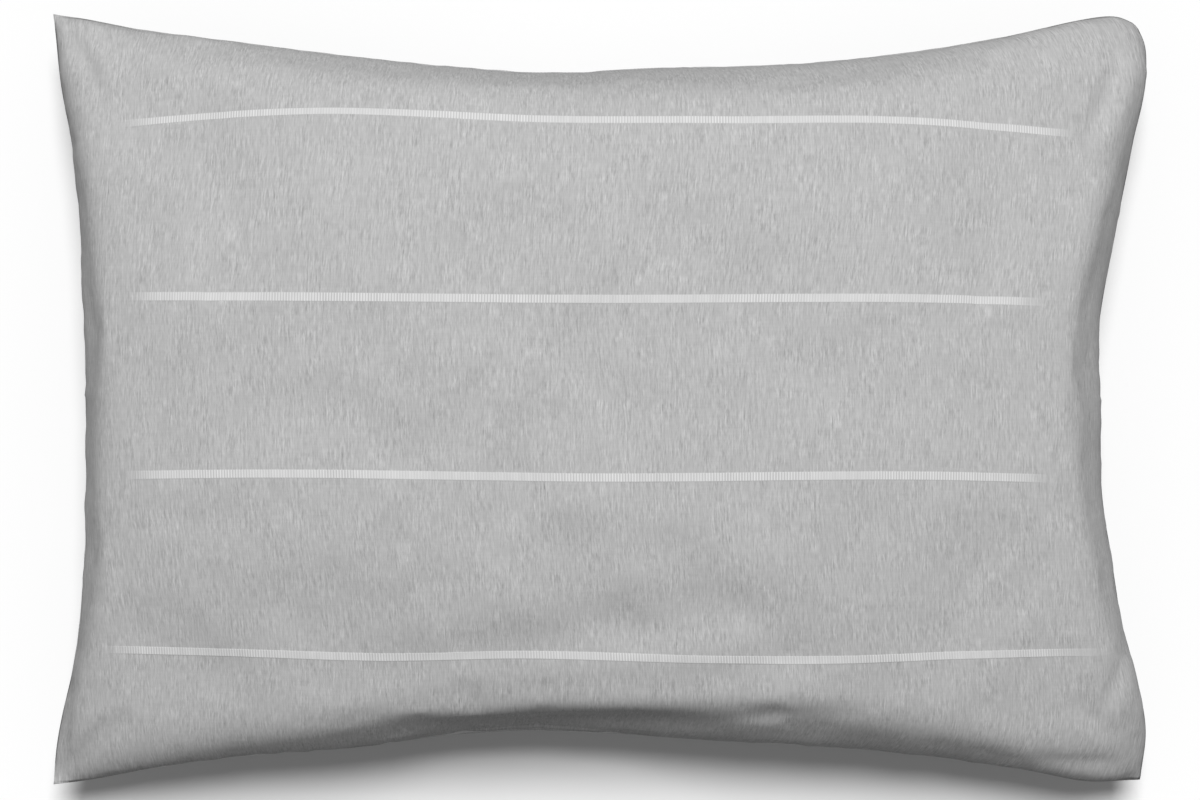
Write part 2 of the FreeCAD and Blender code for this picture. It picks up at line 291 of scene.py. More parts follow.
def smooth_curve(stations, at):
    """A smooth curve through (place, value) stations, read at the places in the array at."""
    places = np.array([p for p, _ in stations], float)
    values = np.array([v for _, v in stations], float)
    slopes = np.gradient(values, places)
    at = np.clip(at, places[0], places[-1])
    k = np.clip(np.searchsorted(places, at) - 1, 0, len(places) - 2)
    gap = places[k + 1] - places[k]
    f = (at - places[k]) / gap
    return (
        (1 + 2 * f) * (1 - f) ** 2 * values[k]
        + f * (1 - f) ** 2 * gap * slopes[k]
        + f * f * (3 - 2 * f) * values[k + 1]
        + f * f * (f - 1) * gap * slopes[k + 1]
    )


def blend_inwards(front, back, moves):
    """Moves the rim by the moves given for its left, right, lower and upper edges, and the rest
    of both panels smoothly between them."""
    left, right, lower, upper = moves
    rows, columns = front.shape[:2]
    a = np.linspace(0, 1, rows)[:, None, None]
    b = np.linspace(0, 1, columns)[None, :, None]
    move = (1 - a) * left[None] + a * right[None] + (1 - b) * lower[:, None] + b * upper[:, None]
    move = move - (1 - a) * (1 - b) * lower[0] - a * (1 - b) * lower[-1]
    move = move - (1 - a) * b * upper[0] - a * b * upper[-1]
    return front + move, back + move


# How far each edge of the filled case is drawn in from the corners' line, in mm, by the place
# along the edge on the flat cloth, in mm.
EDGE_IN = {
    "upper": [(-350, -3), (-330, 0), (-295, 7), (-230, 16), (-100, 31), (-35, 35.5), (45, 32.5),
              (140, 29), (270, 11), (315, 1), (332, -1.5), (343, -0.5), (350, 4)],
    "lower": [(-350, -2.5), (-325, 1), (-290, 8), (-240, 16), (-180, 21), (-50, 33), (80, 27),
              (140, 24), (270, 9), (318, 0), (350, 0)],
    "left": [(-250, -2.5), (-226, 0), (-165, 13.5), (0, 21.5), (61, 20), (170, 11), (200, 5), (250, -2)],
    "right": [(-250, 0), (-219, -2), (-165, 9), (-148, 14), (-102, 22), (-64, 27.5), (0, 29),
              (46, 30), (107, 20.5), (170, 8), (222, -2), (243, 0), (250, 4)],
}


def fit_outline(front, back, flat, low, high, inset=0.0):
    """Brings the rim to the drawn-in outline, keeping its small ripples."""
    rows, columns = front.shape[:2]
    s = np.linspace(-flat[0] / 2, flat[0] / 2, rows)
    t = np.linspace(-flat[1] / 2, flat[1] / 2, columns)
    on_case = {
        "upper": s * CASE_FLAT[0] / flat[0] / MM, "left": t * CASE_FLAT[1] / flat[1] / MM,
    }
    on_case["lower"], on_case["right"] = on_case["upper"], on_case["left"]
    drawn = {edge: smooth_curve(points, on_case[edge]) * MM for edge, points in EDGE_IN.items()}
    x0, x1, y0, y1 = low.x + inset, high.x - inset, low.y + inset, high.y - inset
    share = {"left": t / flat[1] + 0.5, "lower": s / flat[0] + 0.5}
    share["right"], share["upper"] = share["left"], share["lower"]
    corner = {
        ("left", 0): (x0 + drawn["left"][0], y0 + drawn["lower"][0]),
        ("left", -1): (x0 + drawn["left"][-1], y1 - drawn["upper"][0]),
        ("right", 0): (x1 - drawn["right"][0], y0 + drawn["lower"][-1]),
        ("right", -1): (x1 - drawn["right"][-1], y1 - drawn["upper"][-1]),
    }
    corner["lower", 0], corner["lower", -1] = corner["left", 0], corner["right", 0]
    corner["upper", 0], corner["upper", -1] = corner["left", -1], corner["right", -1]
    line = {
        "left": x0 + drawn["left"], "right": x1 - drawn["right"],
        "lower": y0 + drawn["lower"], "upper": y1 - drawn["upper"],
    }
    rims = {"left": front[0], "right": front[-1], "lower": front[:, 0], "upper": front[:, -1]}
    moves = []
    for edge in ("left", "right", "lower", "upper"):
        rim = rims[edge]
        across = 0 if edge in ("left", "right") else 1
        along = 1 - across
        goal = rim.copy()
        goal[:, across] = line[edge]
        first = corner[edge, 0][along] - rim[0, along]
        last = corner[edge, -1][along] - rim[-1, along]
        goal[:, along] += first + (last - first) * share[edge]
        moves.append(smooth_run(goal - rim, 4))
    return blend_inwards(front, back, moves)


def smooth_run(values, reach):
    """A run of vectors without its short ripples. Its ends stay."""
    count = len(values)
    share = np.linspace(0, 1, count)[:, None]
    straight = values[0] + (values[-1] - values[0]) * share
    rest = values - straight
    padded = np.concatenate([-rest[reach:0:-1], rest, -rest[-2 : -reach - 2 : -1]])
    window = np.hanning(2 * reach + 3)[1:-1]
    window /= window.sum()
    smooth = np.stack([np.convolve(column, window, "valid") for column in padded.T], -1)
    return straight + smooth


def normals(grid, side):
    """Unit normals out of the bag. Side is 1 for its front and -1 for its back."""
    along = np.gradient(grid, axis=0)
    across = np.gradient(grid, axis=1)
    up = np.cross(along, across) * side
    return up / np.maximum(np.linalg.norm(up, axis=-1, keepdims=True), 1e-12)


def soft_step(low, high, value):
    f = np.clip((value - low) / (high - low), 0, 1)
    return f * f * (3 - 2 * f)


def crease_depth(grid, creases):
    """How far each point goes in, for straight creases given in mm as their two ends in plan, the
    half-width and the depth."""
    depth = np.zeros(grid.shape[:2])
    for x0, y0, x1, y1, width, deep in creases:
        start = np.array([x0, y0]) * MM
        run = np.array([x1 - x0, y1 - y0]) * MM
        length = np.linalg.norm(run)
        run = run / length
        from_start = grid[..., :2] - start
        along = from_start @ run / length
        off = (from_start @ np.array([-run[1], run[0]])) / (width * MM)
        bow = 0.35 * np.sin(np.clip(along, 0, 1) * math.pi)
        fade = np.sin(np.clip(along, 0, 1) * math.pi) ** 0.7 * ((along > 0) & (along < 1))
        section = np.exp(-((off - bow) ** 2)) - 0.45 * np.exp(-((off - bow - 1.9) ** 2))
        depth += deep * MM * fade * section
    return depth


def seam_puckers(s, t, flat, side, seed, height):
    """Small gathers that the seams' thread draws up, fading away from the seam."""
    ripples = np.zeros_like(s)
    half_s, half_t = flat[0] / 2, flat[1] / 2
    reach = 0.05
    for i, j in np.ndindex(*s.shape):
        from_end, from_side = half_s - abs(s[i, j]), half_t - abs(t[i, j])
        near = min(from_end, from_side)
        if near > reach:
            continue
        along = t[i, j] if from_end < from_side else s[i, j]
        lane = seed + (3 if from_end < from_side else 0) + (s[i, j] > 0) + 7 * (t[i, j] > 0)
        fine = noise.noise(Vector((along * 95, lane, near * 12)))
        fine *= math.exp(-near / 0.013) * min(1.0, near / 0.0025)
        broad = noise.noise(Vector((along * 38, lane + 40, near * 8)))
        broad *= math.exp(-near / 0.022) * min(1.0, near / 0.006)
        ripples[i, j] = height * (fine + 1.3 * broad)
    return ripples * (1.0 if side > 0 else 0.9)


# Creases of the front, in mm: both ends in plan, half-width and depth
FRONT_CREASES = [
    # the soft shelf that runs up over the lower middle
    (-125, -164, 92, -126, 15, 2.6),
    (40, -172, 150, -150, 10, 1.2),
    # the cloth turns under along the lower seam
    (-125, -203, 84, -195, 8.5, 5.0),
    (70, -192, 160, -188, 6, 1.3),
    # upper left corner
    (-327, 229, -300, 178, 5, 2.0),
    (-322, 230, -272, 192, 5, 1.5),
    (-318, 233, -240, 214, 5, 1.0),
    # lower left corner
    (-329, -226, -322, -168, 5, 2.2),
    (-324, -228, -286, -188, 6, 1.5),
    # the loose upper right corner
    (317, 214, 288, 148, 6, 3.0),
    (300, 224, 252, 196, 6, 1.4),
    # lower right corner
    (322, -138, 300, -196, 6, 1.6),
    (322, -222, 262, -216, 5, 1.6),
    (318, -206, 284, -178, 6, 1.4),
]


def droop(s, t, flat):
    """How far the cloth sinks towards the corners, which hang over empty cloth."""
    corner = np.abs(s / flat[0] * 2) ** 4 * np.abs(t / flat[1] * 2) ** 3
    return np.where(t < 0, 0.030, 0.022) * corner


def case_surfaces():
    """The settled pillowcase: its front and back grids."""
    half = ((CAD_HIGH.x - CAD_LOW.x) / 2 + 3 * MM, (CAD_HIGH.y - CAD_LOW.y) / 2 + 3 * MM)
    front, back = cushion_start(CASE_FLAT, half, CROWN, KEEL, lumps=3 * MM, seed=4.2)
    front, back = settle(front, back, CASE_FLAT, seam_draw=0.012, fill_more=1.035, frames=32)
    front, back = resample(front, CASE_CELLS), resample(back, CASE_CELLS)
    front, back = fit_outline(front, back, CASE_FLAT, CAD_LOW, CAD_HIGH)
    s, t = flat_grid(CASE_FLAT, CASE_CELLS)
    for grid in (front, back):
        grid[..., 2] -= droop(s, t, CASE_FLAT)
    # The crown reaches the height of the CAD.
    rim_height = (front[0, :, 2].mean() + front[-1, :, 2].mean()) / 2
    stretch = (CAD_HIGH.z - rim_height) / (front[..., 2].max() - rim_height)
    above = front[..., 2] - rim_height
    front[..., 2] = rim_height + above * np.where(above > 0, stretch, 1)
    from_rim = np.minimum(CASE_FLAT[0] / 2 - np.abs(s), CASE_FLAT[1] / 2 - np.abs(t))
    front_in = crease_depth(front, FRONT_CREASES) * np.minimum(1, from_rim / (4 * MM))
    front_in -= seam_puckers(s, t, CASE_FLAT, 1, 11.3, 1.1 * MM)
    back_in = -seam_puckers(s, t, CASE_FLAT, -1, 23.9, 1.1 * MM)
    front = front - normals(front, 1) * front_in[..., None]
    back = back - normals(back, -1) * back_in[..., None]
    # The open edge of the back hangs a little under the mouth's fold.
    mouth = soft_step(0.29, CASE_FLAT[0] / 2, s) * (1 - (t / CASE_FLAT[1] * 2) ** 2)
    back = back - mouth[..., None] * np.array([1.5, 0, 4.5]) * MM
    back[..., 2] = lay_flat(back[..., 2])
    return front, back


def lay_flat(height, radius=0.004):
    """Heights above the surface that the pillow lies on: nothing below it, and a soft turn."""
    return np.where(height > radius * 4, height, radius * np.logaddexp(0, height / radius) * 0.999)


class Panel:
    """A panel of cloth that can be read anywhere on the flat cloth."""

    def __init__(self, grid, side, flat):
        self.grid, self.side, self.flat = grid, side, flat
        self.out = normals(grid, side)

    def at(self, s, t, lift=0.0):
        """Points at flat places s and t, lifted out of the bag."""
        s, t = np.broadcast_arrays(np.asarray(s, float), np.asarray(t, float))
        rows, columns = self.grid.shape[:2]
        fi = np.clip((s / self.flat[0] + 0.5) * (rows - 1), 0, rows - 1.000001)
        fj = np.clip((t / self.flat[1] + 0.5) * (columns - 1), 0, columns - 1.000001)
        i, j = fi.astype(int), fj.astype(int)
        fi, fj = (fi - i)[..., None], (fj - j)[..., None]

        def read(values):
            near = values[i, j] * (1 - fi) + values[i + 1, j] * fi
            far = values[i, j + 1] * (1 - fi) + values[i + 1, j + 1] * fi
            return near * (1 - fj) + far * fj

        return read(self.grid) + read(self.out) * np.asarray(lift)[..., None]


# Mesh making


def new_object(name, mesh, body, material, nodes):
    piece = linked(name, mesh)
    mesh.materials.append(material)
    mesh.polygons.foreach_set("use_smooth", [True] * len(mesh.polygons))
    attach(piece, body)
    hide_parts(*nodes)
    return piece


def flatten_with_case(piece):
    """Gives the piece a mesh of its own."""
    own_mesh(piece)


def set_flat(mesh, s, t):
    """Keeps each vertex's place on the flat cloth, which the weave and stripes are drawn by."""
    places = np.stack([s.ravel(), t.ravel(), np.zeros(s.size)], -1)
    layer = mesh.attributes.new("flat", "FLOAT_VECTOR", "POINT")
    layer.data.foreach_set("vector", places.astype(np.float32).ravel())


def grid_mesh(name, points, s, t, side):
    rows, columns = points.shape[:2]
    ids = np.arange(rows * columns).reshape(rows, columns)
    quads = np.stack([ids[:-1, :-1], ids[1:, :-1], ids[1:, 1:], ids[:-1, 1:]], -1).reshape(-1, 4)
    if side < 0:
        quads = quads[:, ::-1]
    mesh = bpy.data.meshes.new(name)
    mesh.from_pydata(points.reshape(-1, 3).tolist(), [], quads.tolist())
    mesh.update()
    set_flat(mesh, s, t)
    return mesh


def thicken(piece, thickness):
    solid = piece.modifiers.new("thickness", "SOLIDIFY")
    solid.thickness = thickness
    solid.offset = -1
    return piece


def patch(panel, s_range, t_range, cells, lift):
    """A grid over part of a panel, with its flat places."""
    s, t = np.meshgrid(
        np.linspace(*s_range, cells[0] + 1), np.linspace(*t_range, cells[1] + 1), indexing="ij"
    )
    return panel.at(s, t, lift), s, t


def tube_mesh(name, path, radius, sides=8, closed=False):
    """A round tube along a run of points."""
    path = np.asarray(path, float)
    if closed:
        ahead = np.roll(path, -1, 0) - np.roll(path, 1, 0)
    else:
        ahead = np.gradient(path, axis=0)
    ahead /= np.linalg.norm(ahead, axis=1, keepdims=True)
    up = np.array([0.0, 0.0, 1.0])
    side = np.cross(ahead, up)
    side /= np.maximum(np.linalg.norm(side, axis=1, keepdims=True), 1e-9)
    over = np.cross(side, ahead)
    turn = np.linspace(0, 2 * math.pi, sides, endpoint=False)
    ring = side[:, None] * np.cos(turn)[None, :, None] + over[:, None] * np.sin(turn)[None, :, None]
    points = path[:, None] + ring * radius
    count = len(path)
    ids = np.arange(count * sides).reshape(count, sides)
    faces = []
    for k in range(count if closed else count - 1):
        here, there = ids[k], ids[(k + 1) % count]
        for m in range(sides):
            n = (m + 1) % sides
            faces.append([here[m], here[n], there[n], there[m]])
    if not closed:
        faces.append(list(ids[0][::-1]))
        faces.append(list(ids[-1]))
    mesh = bpy.data.meshes.new(name)
    mesh.from_pydata(points.reshape(-1, 3).tolist(), [], [[int(v) for v in f] for f in faces])
    mesh.update()
    length = np.concatenate([[0], np.cumsum(np.linalg.norm(np.diff(path, axis=0), axis=1))])
    run, round_ = np.meshgrid(length, turn * radius, indexing="ij")
    set_flat(mesh, run, round_)
    return mesh


def joined(name, meshes):
    """One mesh made of several."""
    out = bmesh.new()
    for mesh in meshes:
        out.from_mesh(mesh)
        bpy.data.meshes.remove(mesh)
    whole = bpy.data.meshes.new(name)
    out.to_mesh(whole)
    out.free()
    return whole


def stitches(name, spot, half):
    """A row of thread, half that long each way. spot(place, lift) is a point along the row."""
    meshes = []
    for k in range(int(2 * half / STITCH_PITCH)):
        first = k * STITCH_PITCH - half
        share = np.linspace(0, 1, 7)
        lift = 0.25 * MM - 0.55 * MM * (2 * share - 1) ** 4
        path = [spot(first + f * STITCH_LENGTH, up) for f, up in zip(share, lift)]
        meshes.append(tube_mesh("stitch", path, STITCH_RADIUS, sides=6))
    return joined(name, meshes)


# Materials


class Nodes:
    """A short way to write a material's nodes."""

    def __init__(self, name):
        self.material = bpy.data.materials.new(name)
        self.material.use_nodes = True
        self.tree = self.material.node_tree
        self.shader = self.tree.nodes["Principled BSDF"]

    def add(self, kind, **settings):
        node = self.tree.nodes.new(kind)
        for key, value in settings.items():
            setattr(node, key, value)
        return node

    def put(self, socket, value):
        if isinstance(value, bpy.types.NodeSocket):
            self.tree.links.new(value, socket)
        else:
            socket.default_value = value

    def math(self, operation, a, b=0.0, c=0.0):
        node = self.add("ShaderNodeMath", operation=operation)
        for socket, value in zip(node.inputs, (a, b, c)):
            self.put(socket, value)
        return node.outputs[0]

    def ramp(self, value, low, high, out_low=0.0, out_high=1.0):
        """A smooth step of value from low to high."""
        node = self.add("ShaderNodeMapRange", interpolation_type="SMOOTHSTEP")
        for socket, item in zip(node.inputs, (value, low, high, out_low, out_high)):
            self.put(socket, item)
        return node.outputs[0]

    def mix(self, share, a, b):
        node = self.add("ShaderNodeMix", data_type="RGBA")
        self.put(node.inputs[0], share)
        self.put(node.inputs[6], a)
        self.put(node.inputs[7], b)
        return node.outputs[2]

    def scaled(self, vector, scale):
        node = self.add("ShaderNodeVectorMath", operation="MULTIPLY")
        self.put(node.inputs[0], vector)
        node.inputs[1].default_value = scale
        return node.outputs[0]

    def noise(self, vector, scale=(1, 1, 1), detail=2.0, roughness=0.5):
        node = self.add("ShaderNodeTexNoise")
        self.put(node.inputs["Vector"], self.scaled(vector, scale))
        node.inputs["Scale"].default_value = 1.0
        node.inputs["Detail"].default_value = detail
        node.inputs["Roughness"].default_value = roughness
        return node.outputs["Fac"]

    def wave(self, value, pitch):
        """Between 0 and 1, once per pitch."""
        turn = self.math("SINE", self.math("MULTIPLY", value, 2 * math.pi / pitch))
        return self.math("MULTIPLY_ADD", turn, 0.5, 0.5)

    def bump(self, height, strength, distance, after=None):
        node = self.add("ShaderNodeBump")
        node.inputs["Strength"].default_value = strength
        node.inputs["Distance"].default_value = distance
        self.put(node.inputs["Height"], height)
        if after is not None:
            self.put(node.inputs["Normal"], after)
        return node.outputs[0]

    def flat(self):
        """The place on the flat cloth: its two coordinates and the whole vector."""
        vector = self.add("ShaderNodeAttribute", attribute_name="flat").outputs["Vector"]
        parts = self.add("ShaderNodeSeparateXYZ")
        self.put(parts.inputs[0], vector)
        return parts.outputs[0], parts.outputs[1], vector


def grey(level):
    return (level, level, level, 1.0)


# The woven stripes, in mm on the flat cloth: the place across the cloth, then where along it each
# one starts to show, shows fully, starts to fade and is gone
STRIPES = [
    (168, -303, -268, 262, 294),
    (59, -287, -258, 248, 281),
    (-46, -290, -262, 250, 284),
    (-156, -316, -280, 262, 324),
]
STRIPE_HALF = 2.45 * MM
CLOTH_GREY = 0.452

# Where each stripe runs over the filled pillow, in mm, as (along, across) seen from above
STRIPE_RUNS = [
    [(-300, 168), (-225, 175), (-165, 177), (-110, 175), (-49, 172), (73, 171), (201, 170),
     (244, 166.5), (300, 161)],
    [(-290, 63), (-214, 63), (0, 61.5), (214, 61.5), (290, 59)],
    [(-293, -46), (-214, -45), (0, -47.5), (214, -46.5), (290, -48.5)],
    [(-310, -152), (-214, -154.5), (-130, -157), (-49, -155.5), (73, -158.5), (152, -158.5),
     (214, -156), (311, -153.5)],
]


def woven_across(grid, s, t):
    """The place across the weave. The cloth has shifted a little sideways over the filling, so
    that its stripes lie along their runs."""
    nearer = VIEW_HEIGHT / (SEAM_Z + VIEW_HEIGHT - grid[..., 2])
    along, across = grid[..., 0] * nearer, grid[..., 1] * nearer
    places = [stripe[0] * MM for stripe in STRIPES]
    shifts = []
    for place, run in zip(places, STRIPE_RUNS):
        near = np.abs(t[0] - place) < 30 * MM
        past = (across - smooth_curve(run, along / MM) * MM)[:, near]
        crossing = np.array([np.interp(0, past[i], t[i, near]) for i in range(len(s))])
        shift = smooth_run((crossing - place)[:, None], 8)[:, 0]
        ends = np.clip(s[:, 0], run[0][0] * MM, run[-1][0] * MM)
        shifts.append(np.interp(ends, s[:, 0], shift))
    known = [t[0, 0]] + places[::-1] + [t[0, -1]]
    still = np.zeros(len(s))
    rows = np.array([still] + shifts[::-1] + [still])
    return t - np.stack([np.interp(t[i], known, rows[:, i]) for i in range(len(s))])


def weave(n, s, t, pitch):
    """Plain weave: threads over and under each other."""
    warp, weft = n.wave(s, pitch), n.wave(t, pitch)
    over = n.math("MULTIPLY", warp, weft)
    under = n.math("MULTIPLY", n.math("SUBTRACT", 1.0, warp), n.math("SUBTRACT", 1.0, weft))
    return n.math("ADD", over, under)


def grey_colour(n, level):
    """A grey colour from a level worked out by other nodes."""
    colour = n.add("ShaderNodeCombineColor")
    for socket in colour.inputs:
        n.put(socket, level)
    return colour.outputs[0]


def stripe_mask(n, s, t):
    """How fully each point lies in one of the stripes."""
    mask = None
    for across, starts, full, fades, gone in STRIPES:
        off = n.math("ABSOLUTE", n.math("SUBTRACT", t, across * MM))
        line = n.ramp(off, STRIPE_HALF + 0.4 * MM, STRIPE_HALF - 0.4 * MM)
        ends = n.math(
            "MULTIPLY", n.ramp(s, starts * MM, full * MM), n.ramp(s, gone * MM, fades * MM)
        )
        line = n.math("MULTIPLY", line, ends)
        mask = line if mask is None else n.math("MAXIMUM", mask, line)
    return mask


def case_cloth(name, striped):
    """Grey slub cotton. Its warp has short darker and paler slubs, and the front's stripes are
    raised white ribs."""
    n = Nodes(name)
    s, t, place = n.flat()
    patch_share = n.ramp(n.noise(place, (75, 60, 1), 2.0, 0.6), 0.30, 0.70, 0.55, 1.45)
    slub = n.noise(place, (1150, 165, 1), 2.0, 0.6)
    long_slub = n.noise(place, (620, 48, 1), 1.0)
    weft = n.noise(place, (60, 900, 1), 1.0)
    cloud = n.noise(place, (14, 14, 1), 2.0)
    tone = n.math("MULTIPLY_ADD", n.ramp(slub, 0.25, 0.75), 0.26, -0.13)
    tone = n.math("ADD", tone, n.math("MULTIPLY_ADD", n.ramp(long_slub, 0.3, 0.7), 0.13, -0.065))
    flecks = n.ramp(n.noise(place, (1300, 120, 1), 1.0, 0.4), 0.66, 0.76)
    tone = n.math("ADD", tone, n.math("MULTIPLY", flecks, 0.16))
    darks = n.ramp(n.noise(place, (1300, 125, 3), 1.0, 0.4), 0.34, 0.25)
    tone = n.math("SUBTRACT", tone, n.math("MULTIPLY", darks, 0.14))
    tone = n.math("MULTIPLY", tone, patch_share)
    tone = n.math("ADD", tone, n.math("MULTIPLY_ADD", weft, 0.09, -0.045))
    tone = n.math("ADD", tone, n.math("MULTIPLY_ADD", cloud, 0.10, -0.05))
    cross = weave(n, s, t, 0.62 * MM)
    tone = n.math("ADD", tone, n.math("MULTIPLY_ADD", cross, 0.05, -0.025))
    colour = grey_colour(n, n.math("MULTIPLY", n.math("ADD", tone, 1.0), CLOTH_GREY))
    height = n.math("ADD", cross, n.math("MULTIPLY", slub, 1.2))
    normal = n.bump(height, 0.22, 0.25 * MM)
    if striped:
        mask = stripe_mask(n, s, t)
        rib = n.wave(s, 1.7 * MM)
        uneven = n.noise(place, (240, 60, 1), 1.0)
        rib_share = n.ramp(n.noise(place, (16, 5, 1), 1.0), 0.35, 0.65, 0.05, 0.22)
        white = n.math("MULTIPLY_ADD", n.math("SUBTRACT", rib, 0.5), rib_share, 0.62)
        white = n.math("ADD", white, n.math("MULTIPLY_ADD", uneven, 0.12, -0.06))
        colour = n.mix(mask, colour, grey_colour(n, white))
        raised = n.math("MULTIPLY", mask, n.math("MULTIPLY_ADD", rib, 0.6, 0.6))
        normal = n.bump(raised, 0.5, 0.5 * MM, normal)
    n.put(n.shader.inputs["Base Color"], colour)
    n.put(n.shader.inputs["Normal"], normal)
    n.shader.inputs["Roughness"].default_value = 0.95
    n.shader.inputs["Specular IOR Level"].default_value = 0.12
    n.shader.inputs["Sheen Weight"].default_value = 0.03
    n.shader.inputs["Sheen Roughness"].default_value = 0.6
    return n.material


def plain_cloth(name, colour, pitch, roughness, sheen, twill=False):
    """White or pale woven cloth, plain or twill."""
    n = Nodes(name)
    s, t, place = n.flat()
    if twill:
        cross = n.wave(n.math("ADD", s, t), pitch)
    else:
        cross = weave(n, s, t, pitch)
    uneven = n.noise(place, (500, 500, 1), 2.0)
    cloud = n.noise(place, (18, 18, 1), 2.0)
    share = n.math("ADD", n.math("MULTIPLY", uneven, 0.5), n.math("MULTIPLY", cloud, 0.5))
    share = n.math("ADD", share, n.math("MULTIPLY", cross, 0.3))
    dark = tuple(c * 0.9 for c in colour[:3]) + (1.0,)
    n.put(n.shader.inputs["Base Color"], n.mix(share, dark, colour))
    height = n.math("ADD", cross, n.math("MULTIPLY", uneven, 0.5))
    n.put(n.shader.inputs["Normal"], n.bump(height, 0.25, 0.2 * MM))
    n.shader.inputs["Roughness"].default_value = roughness
    n.shader.inputs["Sheen Weight"].default_value = sheen
    n.shader.inputs["Specular IOR Level"].default_value = 0.25
    return n.material


def thread(name, colour, pitch=0.8 * MM):
    """Twisted sewing thread, or the fibres of an overlocked edge."""
    n = Nodes(name)
    s, t, place = n.flat()
    ply = n.wave(n.math("ADD", s, n.math("MULTIPLY", t, 0.8)), pitch)
    dark = tuple(c * 0.8 for c in colour[:3]) + (1.0,)
    n.put(n.shader.inputs["Base Color"], n.mix(ply, dark, colour))
    n.put(n.shader.inputs["Normal"], n.bump(ply, 0.5, 0.15 * MM))
    n.shader.inputs["Roughness"].default_value = 0.6
    n.shader.inputs["Sheen Weight"].default_value = 0.1
    return n.material


def fibre(name):
    """Carded polyester fibre."""
    n = Nodes(name)
    place = n.add("ShaderNodeTexCoord").outputs["Object"]
    tufts = n.noise(place, (35, 35, 35), 5.0, 0.7)
    strands = n.noise(place, (900, 160, 160), 3.0, 0.7)
    share = n.math("MULTIPLY_ADD", tufts, 0.6, n.math("MULTIPLY", strands, 0.4))
    n.put(n.shader.inputs["Base Color"], n.mix(share, (0.74, 0.74, 0.73, 1), (0.9, 0.9, 0.89, 1)))
    n.put(n.shader.inputs["Normal"], n.bump(share, 0.6, 2 * MM))
    n.shader.inputs["Roughness"].default_value = 0.95
    n.shader.inputs["Sheen Weight"].default_value = 0.3
    return n.material


# The pillowcase


def case_piece(name, points, s, t, side, material, thickness, node):
    """One layer of the pillowcase."""
    mesh = grid_mesh(name, points, s, t, side)
    return thicken(new_object(name, mesh, "case", material, [node]), thickness)


def build_panels(front, back, striped, plain):
    """The front, and the back with its hem."""
    half_s, half_t = CASE_FLAT[0] / 2, CASE_FLAT[1] / 2
    s, t = flat_grid(CASE_FLAT, CASE_CELLS)
    across = woven_across(front.grid, s, t)
    top = case_piece("case_front", front.grid, s, across, 1, striped, CLOTH, "front_panel")

    keep = int(round((CASE_FLAT[0] - BACK_HEM) / CASE_FLAT[0] * CASE_CELLS[0]))
    body, turned = slice(keep + 1), slice(keep, None)
    under = case_piece(
        "case_back", back.grid[body], s[body], t[body], -1, plain, CLOTH, "back_panel"
    )
    s, t = s[turned], t[turned]
    # The hem is drawn in under the front at its two corners.
    corner = soft_step(half_s - 24 * MM, half_s, s) * soft_step(half_t - 24 * MM, half_t, np.abs(t))
    drawn_in = np.stack([corner, corner * np.sign(t), corner], axis=-1) * 2.6 * MM
    hem = case_piece(
        "case_back_hem", back.grid[turned] - drawn_in, s, t, -1, plain, 1.9 * MM, "back_hem"
    )
    return top, under, hem


def build_flap(front, back, plain):
    """The flap inside the mouth, its hem, and the fold that it turns in at."""
    half_s, half_t = CASE_FLAT[0] / 2, CASE_FLAT[1] / 2
    hem_start, hem_end = half_s - FLAP_DEPTH, half_s - FLAP_DEPTH + FLAP_HEM
    width = (-half_t + 6 * MM, half_t - 6 * MM)
    points, ps, pt = patch(back, (hem_end, half_s - 4 * MM), width, (70, 120), -3.4 * MM)
    flap = case_piece("case_tuck_flap", points, ps, pt, -1, plain, CLOTH, "tuck_flap")

    points, ps, pt = patch(back, (hem_start, hem_end), width, (6, 120), -3.1 * MM)
    flap_hem = case_piece("case_flap_hem", points, ps, pt, -1, plain, 1.7 * MM, "flap_hem")

    rim = front.at(half_s, np.linspace(-half_t + 12 * MM, half_t - 12 * MM, 220), 0)
    rim = rim + np.array([-1.3 * MM, 0, -1.1 * MM])
    mesh = tube_mesh("case_mouth_fold", rim, 1.35 * MM, sides=10)
    fold = new_object("case_mouth_fold", mesh, "case", plain, ["mouth_fold"])
    return flap, flap_hem, fold


def build_allowances(front, back):
    """The overlocked seam allowances inside the three sewn edges, midway between the panels."""
    half_s, half_t = CASE_FLAT[0] / 2, CASE_FLAT[1] / 2
    overlock = thread("overlock", grey(0.5), 2.2 * MM)
    steps = np.linspace(1.5 * MM, 8.5 * MM, 5)
    side_run, end_run = np.linspace(-0.322, 0.322, 200), np.linspace(-0.225, 0.225, 150)
    places = {
        "upper_side_seam": (side_run, half_t - steps),
        "lower_side_seam": (side_run, steps - half_t),
        "closed_end_seam": (steps - half_s, end_run),
    }
    strips = []
    for node, (along, across) in places.items():
        ps, pt = np.meshgrid(along, across, indexing="ij")
        points = (front.at(ps, pt) + back.at(ps, pt)) / 2
        mesh = grid_mesh("case_" + node, points, ps, pt, 1)
        strip = new_object("case_" + node, mesh, "case", overlock, [node])
        thicken(strip, 1.2 * MM).modifiers["thickness"].offset = 0
        strips.append(strip)
    return strips


def build_case_stitching(back):
    half_s = CASE_FLAT[0] / 2
    sewing = thread("case_sewing_thread", grey(0.62))
    hem_row = half_s - BACK_HEM + 2.5 * MM
    flap_row = half_s - FLAP_DEPTH + FLAP_HEM - 2 * MM
    mesh = stitches("case_hem_stitching", lambda at, lift: back.at(hem_row, at, lift), 0.235)
    hem_row_piece = new_object(
        "case_hem_stitching", mesh, "case", sewing, ["hem_stitching"]
    )
    mesh = stitches(
        "case_flap_stitching", lambda at, lift: back.at(flap_row, at, -5.0 * MM - lift), 0.21
    )
    flap_row_piece = new_object(
        "case_flap_stitching", mesh, "case", sewing, ["flap_stitching"]
    )
    return hem_row_piece, flap_row_piece


